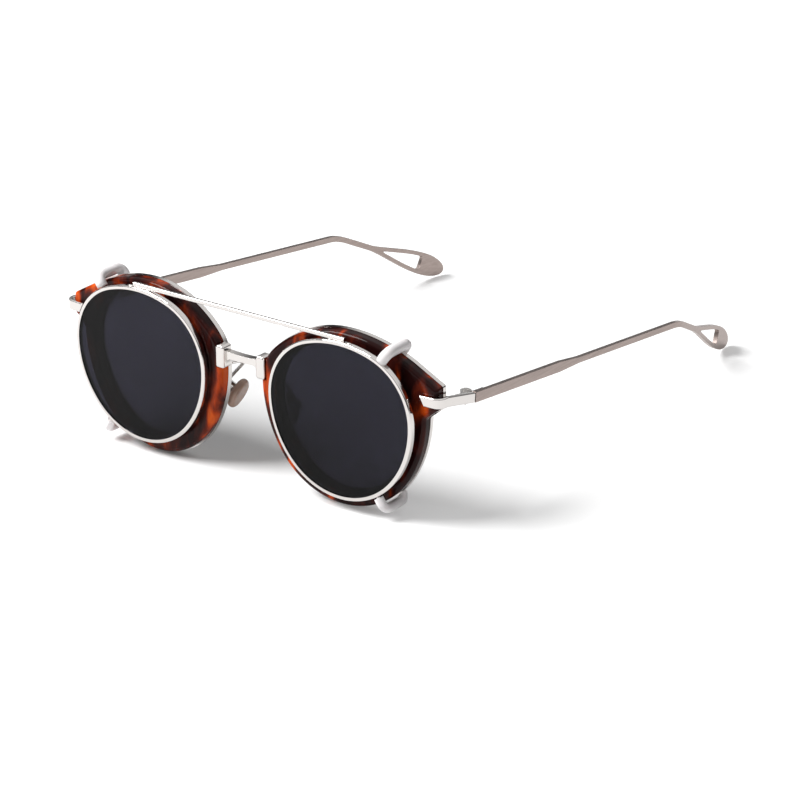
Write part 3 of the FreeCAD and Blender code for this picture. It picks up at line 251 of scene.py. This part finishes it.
def settle(piece):
    """Turns the result of a piece's modifiers into its plain mesh."""
    evaluated = piece.evaluated_get(bpy.context.evaluated_depsgraph_get())
    piece.data = bpy.data.meshes.new_from_object(evaluated)
    piece.modifiers.clear()


def stand_for(piece, node):
    """Puts a piece in a CAD node's place, on the same body."""
    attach(piece, nodes[node]["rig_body"])
    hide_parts(node)


def softened(node, width, finish, reshape=None):
    """Puts a copy with a small round on each sharp edge in a CAD node's place."""
    mesh = welded(node)
    bmesh.ops.dissolve_limit(mesh, angle_limit=FLAT, verts=mesh.verts, edges=mesh.edges)
    if reshape:
        reshape(mesh)
    piece = smooth_piece(node + "_finished", mesh, finish)
    rounding = piece.modifiers.new("broken edges", "BEVEL")
    rounding.width = width
    rounding.segments = EDGE_STEPS
    rounding.limit_method = "ANGLE"
    rounding.angle_limit = SHARP
    rounding.harden_normals = True
    settle(piece)
    stand_for(piece, node)


softened("bridge", BRIDGE_EDGE, polished)


# End pieces: flat strips of nickel silver, bent round the lugs of the acetate and carried back to the hinges.
# Their edges are broken and polished like the bridge's.
END_EDGE = 0.4 * MM
for side in SIDES:
    softened("endpiece_" + side, END_EDGE, polished)


# Hinges: three-barrel hinges of nickel silver, soldered to the end pieces and the temples and joined by
# slotted screws. The barrels are milled, so they are duller than the polished fronts.
MILLED = (0.70, 0.68, 0.66, 1)
TURNING_STRETCH = (1, 1, 12)
TURNING_HAZE = 0.14
MILLED_POLISH = 0.18
milled, flow = new_finish("hinge_metal")
turning = clouds(flow, in_place(flow, stretch=TURNING_STRETCH), scale=900)
surface(
    flow, Base_Color=MILLED, Metallic=1.0, Roughness=turning * TURNING_HAZE + MILLED_POLISH,
    Normal=bump(flow, turning, strength=0.10, distance=0.1 * MM),
)
for side in SIDES:
    for name in ("hinge_front_", "hinge_temple_", "hinge_screw_"):
        dress(name + side, milled)


# Temples: flat bars stamped from titanium sheet, stepped, bent at the ear and pierced by a long loop near the
# end. The plating is a satin rose grey, brushed along the bar. EAR_END is a place on the frame's Y axis just
# behind the ear bend, and the lengths of the tip count from the bend along the tip.
SATIN_STOPS = ((0.3, (0.30, 0.245, 0.225)), (0.7, (0.37, 0.305, 0.28)))
BRUSHING_STRETCH = (1, 0.05, 1)
BRUSHING_HAZE = 0.16
SATIN_POLISH = 0.24
TEMPLE_EDGE = 0.2 * MM
EAR_END = 41.5 * MM
BAR_LENGTH = 9 * MM
BAR_CORNER_RADIANS = 1.0
CUT_SNAP = 0.0001 * MM
NECK = 14.4 * MM
NECK_CUT = 0.8 * MM
TIP_WIDEST = 36.0 * MM
TIP_END = 44.8 * MM
TIP_HALF = 3.3 * MM
TIP_SWELL = 1.3
LOOP_NOSE = 19.1 * MM
LOOP_START = 19.5 * MM
LOOP_END = 35.0 * MM
LOOP_TINE = 1.2 * MM
LOOP_CORNER = 0.6 * MM
CORNER_EASE = 0.3 * LOOP_CORNER
SWELL_STEPS = 20
ROUND_STEPS = 28
LOOP_STEPS = 16
satin, flow = new_finish("temple_metal")
brushing = clouds(flow, in_place(flow, stretch=BRUSHING_STRETCH), scale=1600)
surface(
    flow, Base_Color=shades(flow, brushing, SATIN_STOPS), Metallic=1.0,
    Roughness=brushing * BRUSHING_HAZE + SATIN_POLISH,
    Normal=bump(flow, brushing, strength=0.08, distance=0.1 * MM),
)


def even_steps(start, end, count):
    return [start + (end - start) * step / count for step in range(count + 1)]


def tip_half_width(station, bar_half):
    """Half the tip's width, which swells from the bar's to the egg's."""
    share = (station - NECK) / (TIP_WIDEST - NECK)
    return bar_half + (TIP_HALF - bar_half) * math.sin(math.pi / 2 * share**TIP_SWELL)


def tip_lines(bar_half):
    """The tip's outline between the corners of its neck, and the edge of the loop, one tine further in."""
    swell = [(s, tip_half_width(s, bar_half)) for s in even_steps(NECK, TIP_WIDEST, SWELL_STEPS)[1:-1]]
    round_end = [
        (TIP_WIDEST + (TIP_END - TIP_WIDEST) * math.sin(angle), TIP_HALF * math.cos(angle))
        for angle in even_steps(0, math.pi, ROUND_STEPS)
    ]
    outline = swell + round_end + [(s, -w) for s, w in reversed(swell)]
    stations = even_steps(LOOP_START, LOOP_END - LOOP_CORNER, LOOP_STEPS)
    upper = [(s, tip_half_width(s, bar_half) - LOOP_TINE) for s in stations]
    top = upper[-1][1]
    upper += [(LOOP_END - CORNER_EASE, top - CORNER_EASE), (LOOP_END, top - LOOP_CORNER)]
    loop = [(LOOP_NOSE, 0)] + upper + [(s, -w) for s, w in reversed(upper)]
    return outline, loop


def egg_tip(mesh):
    """Cuts a temple short of its neck and closes it with an egg-shaped tip round a teardrop loop."""
    bars = [
        edge for edge in mesh.edges
        if edge.calc_length() > BAR_LENGTH and edge.calc_face_angle(0) > BAR_CORNER_RADIANS
        and min(vert.co.y for vert in edge.verts) > EAR_END
    ]
    bend, far = sorted((vert.co.copy() for vert in bars[0].verts), key=lambda place: place.y)
    along = (far - bend).normalized()
    ends = [max((vert.co for vert in bar.verts), key=lambda place: place.y) for bar in bars]
    cut_at = min(ends, key=along.dot) - along * NECK_CUT
    whole = mesh.verts[:] + mesh.edges[:] + mesh.faces[:]
    cut = bmesh.ops.bisect_plane(
        mesh, geom=whole, dist=CUT_SNAP, plane_co=cut_at, plane_no=along, clear_outer=True
    )
    ring = [part for part in cut["geom_cut"] if isinstance(part, bmesh.types.BMVert)]
    ring.sort(key=lambda vert: vert.co.z)
    lower = sorted(ring[:2], key=lambda vert: vert.co.x)
    upper = sorted(ring[2:], key=lambda vert: vert.co.x)
    bar_half = (upper[0].co - lower[0].co).length / 2
    outline, loop = tip_lines(bar_half)
    closed = [(NECK, bar_half), *outline, (NECK, -bar_half)]
    triangles = tessellate_polygon([[Vector((s, w, 0)) for s, w in line] for line in (closed, loop)])
    layers = []
    for high, low in zip(upper, lower):
        middle = (high.co + low.co) / 2
        upward = (high.co - low.co).normalized()
        rim, hole = (
            [mesh.verts.new(middle + along * (s - NECK) + upward * w) for s, w in line]
            for line in (outline, loop)
        )
        rim = [high, *rim, low]
        for corners in triangles:
            mesh.faces.new([(rim + hole)[corner] for corner in corners])
        layers.append((rim, hole))
    (rim_in, hole_in), (rim_out, hole_out) = layers
    walls = list(zip(rim_in, rim_in[1:], rim_out[1:], rim_out))
    walls += zip(hole_in, hole_in[1:] + hole_in[:1], hole_out[1:] + hole_out[:1], hole_out)
    for wall in walls:
        mesh.faces.new(wall)
    bmesh.ops.recalc_face_normals(mesh, faces=mesh.faces)
    bmesh.ops.dissolve_limit(mesh, angle_limit=FLAT, verts=mesh.verts, edges=mesh.edges)


for side in SIDES:
    softened("temple_" + side, TEMPLE_EDGE, satin, egg_tip)


# Nose pads: champagne silicone ovals that rock on screws in small metal boxes. The boxes are carried by bent
# wire arms that are soldered to the back of the metal rims.
PAD_STOPS = ((0.3, (0.385, 0.245, 0.18)), (0.7, (0.485, 0.32, 0.245)))
PAD_SCATTER = (2.0 * MM, 1.2 * MM, 0.8 * MM)
PAD_HAZE = 0.1
PAD_POLISH = 0.16
pad, flow = new_finish("nose_pad")
haze = clouds(flow, in_place(flow), scale=300)
surface(
    flow, Base_Color=shades(flow, haze, PAD_STOPS), Roughness=haze * PAD_HAZE + PAD_POLISH,
    Transmission_Weight=0.25, IOR=1.42, Subsurface_Weight=0.3, Subsurface_Radius=PAD_SCATTER, Coat_Weight=0.3,
)
for side in SIDES:
    dress("nose_pad_" + side, pad)
    for name in ("nose_pad_arm_", "nose_pad_box_", "nose_pad_screw_"):
        dress(name + side, milled)


# Sun clip: two grooved wire rims of nickel silver, joined by a straight brow bar and polished, with dark
# tinted lenses snapped into the grooves.
DARK_TINT = (0.0127, 0.012, 0.0205, 1)
FILM_HAZE = 0.02
dark, flow = new_finish("dark_lens")
film = clouds(flow, in_place(flow), scale=60)
surface(flow, Base_Color=DARK_TINT, Transmission_Weight=1.0, IOR=1.22, Roughness=film * FILM_HAZE)
for side in SIDES:
    dress("clip_rim_" + side, polished)
    dress("clip_lens_" + side, dark)
dress("clip_bar", polished)


# Claws: four bent wires soldered to the clip rims, each in a white silicone sleeve that grips the rim behind
# without scratching it. The upper sleeves are a little thicker than the lower ones.
WHITE_SILICONE = (0.90, 0.865, 0.87, 1)
SLEEVE_SCATTER = (2.5 * MM, 2.4 * MM, 2.4 * MM)
SKIN_HAZE = 0.15
SLEEVE_POLISH = 0.30
SLEEVE_SWELL = 0.2 * MM
BORE_NEAR = 0.4 * MM
silicone, flow = new_finish("sleeve")
skin = clouds(flow, in_place(flow), scale=700, detail=3.0)
surface(
    flow, Base_Color=WHITE_SILICONE, Roughness=skin * SKIN_HAZE + SLEEVE_POLISH,
    Subsurface_Weight=0.5, Subsurface_Radius=SLEEVE_SCATTER,
    Normal=bump(flow, skin, strength=0.12, distance=0.05 * MM),
)
for side in SIDES:
    for level in ("upper_", "lower_"):
        dress("claw_wire_" + level + side, milled)
        dress("claw_sleeve_" + level + side, silicone)
    wire = welded("claw_wire_upper_" + side)
    core = BVHTree.FromBMesh(wire)
    wire.free()
    sleeve = "claw_sleeve_upper_" + side
    mesh = welded(sleeve)
    mesh.normal_update()
    outside = [vert for vert in mesh.verts if core.find_nearest(vert.co)[3] > BORE_NEAR]
    for vert, outward in [(vert, vert.normal.copy()) for vert in outside]:
        vert.co += outward * SLEEVE_SWELL
    stand_for(smooth_piece(sleeve + "_thick", mesh, silicone), sleeve)


# Solder: flattened drops of silver solder where the brow bar sits on the clip rims and where the nose pad
# arms meet the metal rims. Geometry Nodes set one drop on the foot of each arm and two on each clip rim.
BEAD_RADIUS = 1.0 * MM
BEAD_SEGMENTS = 24
BEAD_RINGS = 12
ARM_BEAD = (0.85, 0.40, 0.85)
BAR_BEAD = (0.90, 0.50, 0.30)
BAR_BEAD_STEP = 3.0 * MM
BAR_BEAD_DROP = 0.12 * MM
TOUCH = 0.05 * MM
tree = bpy.data.node_groups.new("solder beads", "GeometryNodeTree")
tree.interface.new_socket("Geometry", in_out="INPUT", socket_type="NodeSocketGeometry")
radius_input = tree.interface.new_socket("Bead Radius", in_out="INPUT", socket_type="NodeSocketFloat")
metal_input = tree.interface.new_socket("Metal", in_out="INPUT", socket_type="NodeSocketMaterial")
tree.interface.new_socket("Geometry", in_out="OUTPUT", socket_type="NodeSocketGeometry")
joints = tree.nodes.new("NodeGroupInput")
drop = tree.nodes.new("GeometryNodeMeshUVSphere")
drop.inputs["Segments"].default_value = BEAD_SEGMENTS
drop.inputs["Rings"].default_value = BEAD_RINGS
spread = tree.nodes.new("GeometryNodeInputNamedAttribute")
spread.data_type = "FLOAT_VECTOR"
spread.inputs["Name"].default_value = "spread"
set_drops = tree.nodes.new("GeometryNodeInstanceOnPoints")
smooth = tree.nodes.new("GeometryNodeSetShadeSmooth")
solid = tree.nodes.new("GeometryNodeRealizeInstances")
finish = tree.nodes.new("GeometryNodeSetMaterial")
result = tree.nodes.new("NodeGroupOutput")
for source, output, target, socket in (
    (joints, "Geometry", set_drops, "Points"),
    (joints, "Bead Radius", drop, "Radius"),
    (drop, "Mesh", smooth, "Geometry"),
    (smooth, "Geometry", set_drops, "Instance"),
    (spread, "Attribute", set_drops, "Scale"),
    (set_drops, "Instances", solid, "Geometry"),
    (solid, "Geometry", finish, "Geometry"),
    (joints, "Metal", finish, "Material"),
    (finish, "Geometry", result, "Geometry"),
):
    tree.links.new(source.outputs[output], target.inputs[socket])


def solder(name, carrier, metal, places, bead):
    """One drop at each place, moving with the CAD node that carries them."""
    points = bpy.data.meshes.new(name)
    points.from_pydata(places, [], [])
    sizes = points.attributes.new("spread", "FLOAT_VECTOR", "POINT")
    for entry in sizes.data:
        entry.vector = bead
    piece = bpy.data.objects.new(name, points)
    scene.collection.objects.link(piece)
    beads = piece.modifiers.new("beads", "NODES")
    beads.node_group = tree
    beads[radius_input.identifier] = BEAD_RADIUS
    beads[metal_input.identifier] = metal
    settle(piece)
    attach(piece, nodes[carrier]["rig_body"])


arm_joints = []
bar_joints = []
for side in SIDES:
    arm = [vert.co for vert in nodes["nose_pad_arm_" + side].data.vertices]
    foremost = min(place.y for place in arm)
    seat = [place for place in arm if place.y < foremost + TOUCH]
    arm_joints.append(sum(seat, Vector()) / len(seat))
    rim = [vert.co for vert in nodes["clip_rim_" + side].data.vertices]
    crest = max(rim, key=lambda place: place.z)
    depths = [place.y for place in rim if place.z > crest.z - TOUCH]
    middle = (min(depths) + max(depths)) / 2
    for step in (-BAR_BEAD_STEP, BAR_BEAD_STEP):
        bar_joints.append(Vector((crest.x + step, middle, crest.z - BAR_BEAD_DROP)))
solder("nose_arm_solder", "nose_pad_arm_left", milled, arm_joints, ARM_BEAD)
solder("brow_bar_solder", "clip_bar", polished, bar_joints, BAR_BEAD)


# Studio: a white sheet under and behind the glasses, a large soft lamp high on the left, and a room that is
# bright overhead and dark along its walls.
# The sheet glows faintly round the point seen under the bridge, which is a painted shadow that deepens the
# shade there. It glows more away from that point, which is painted light that pales the other shadows.
FLOOR_REACH = 8.0
PAPER_WHITE = (0.82, 0.82, 0.82, 1)
PAINTED_SHADOW_CENTRE = Vector((-0.0227, -0.0513, 0))
PAINTED_SHADOW_REACH = 0.2
PAINTED_SHADOW_STOPS = ((0.10, (0.05, 0.05, 0.05)), (0.415, (0.30, 0.30, 0.30)))
ROOM_STOPS = (
    (0.0, (0.9, 0.9, 0.9)),
    (0.03, (0.8, 0.8, 0.8)),
    (0.08, (0.04, 0.04, 0.043)),
    (0.28, (0.05, 0.05, 0.053)),
    (0.50, (0.85, 0.85, 0.85)),
    (1.0, (1.0, 1.0, 1.0)),
)
ROOM_LIGHT = 0.36
LAMP_PLACE = Vector((-0.72, -0.76, 1.15))
LAMP_TARGET = Vector((0, 0, 0.02))
LAMP_SIZE = 0.8
LAMP_WATTS = 31


def shown(flow):
    """1 for the rays that show the studio itself, straight, in a reflection or through a lens."""
    kinds = ("Is Camera Ray", "Is Glossy Ray", "Is Transmission Ray")
    straight, mirrored, through = (flow.node("ShaderNodeLightPath", output=kind) for kind in kinds)
    return straight + mirrored + through


floor_mesh = bpy.data.meshes.new("floor")
floor_corners = [(x * FLOOR_REACH, y * FLOOR_REACH, 0) for x, y in ((-1, -1), (1, -1), (1, 1), (-1, 1))]
floor_mesh.from_pydata(floor_corners, [], [(0, 1, 2, 3)])
floor = bpy.data.objects.new("floor", floor_mesh)
scene.collection.objects.link(floor)
paper_with_painted_shadow, flow = new_finish("white_sheet_painted_shadow")
matt = flow.node("ShaderNodeBsdfDiffuse", None, {"Color": PAPER_WHITE})
# Painted shadow: the sheet's glow is weakest at the point seen under the bridge and grows with distance from
# it. This paints the shade there darker and the shadows further out lighter.
from_painted_shadow = in_place(flow, shift=-PAINTED_SHADOW_CENTRE)
painted_shadow_distance = flow.node("ShaderNodeVectorMath", {"operation": "LENGTH"}, {0: from_painted_shadow}, output="Value")
painted_shadow_glow = shades(flow, painted_shadow_distance * (1 / PAINTED_SHADOW_REACH), PAINTED_SHADOW_STOPS)
lift_and_painted_shadow = flow.node("ShaderNodeEmission", None, {"Color": painted_shadow_glow, "Strength": shown(flow)})
both = flow.node("ShaderNodeAddShader", None, {0: matt, 1: lift_and_painted_shadow})
flow.node("ShaderNodeOutputMaterial", None, {"Surface": both})
floor_mesh.materials.append(paper_with_painted_shadow)

room = bpy.data.worlds.new("room")
scene.world = room
room.use_nodes = True
room.node_tree.nodes.clear()
flow = Flow(room.node_tree)
direction = flow.node("ShaderNodeTexCoord", output="Generated")
height = flow.node("ShaderNodeSeparateXYZ", None, {"Vector": direction}, output="Z")
tone = shades(flow, height, ROOM_STOPS)
strength = shown(flow) * (1 - ROOM_LIGHT) + ROOM_LIGHT
background = flow.node("ShaderNodeBackground", None, {"Color": tone, "Strength": strength})
flow.node("ShaderNodeOutputWorld", None, {"Surface": background})

light = bpy.data.lights.new("key", "AREA")
light.shape = "DISK"
light.size = LAMP_SIZE
light.energy = LAMP_WATTS
lamp = bpy.data.objects.new("key", light)
lamp.location = LAMP_PLACE
lamp.rotation_euler = (LAMP_TARGET - LAMP_PLACE).to_track_quat("-Z", "Y").to_euler()
scene.collection.objects.link(lamp)


# Camera: the photograph's viewing angle and focal length, found by fitting its view to the glasses.
# The focal length and the frame's size are in pixels of the photograph.
PHOTO_FOCAL = 3963
PHOTO_SIZE = 800
CAMERA_PLACE = Vector((0.621199, -0.82203, 0.413915))
CAMERA_AZIMUTH = math.radians(37.374)
CAMERA_ELEVATION = math.radians(22.008)
CAMERA_ROLL = math.radians(-0.591)
camera = bpy.data.objects.new("camera", bpy.data.cameras.new("camera"))
scene.collection.objects.link(camera)
camera.data.sensor_width = 36
camera.data.lens = PHOTO_FOCAL / PHOTO_SIZE * camera.data.sensor_width
camera.data.clip_start = 0.05
camera.data.clip_end = 20
heading = Matrix.Rotation(CAMERA_AZIMUTH, 4, "Z") @ Matrix.Rotation(math.pi / 2 - CAMERA_ELEVATION, 4, "X")
camera.matrix_world = Matrix.Translation(CAMERA_PLACE) @ heading @ Matrix.Rotation(CAMERA_ROLL, 4, "Z")
scene.camera = camera
scene.view_settings.view_transform = "Standard"
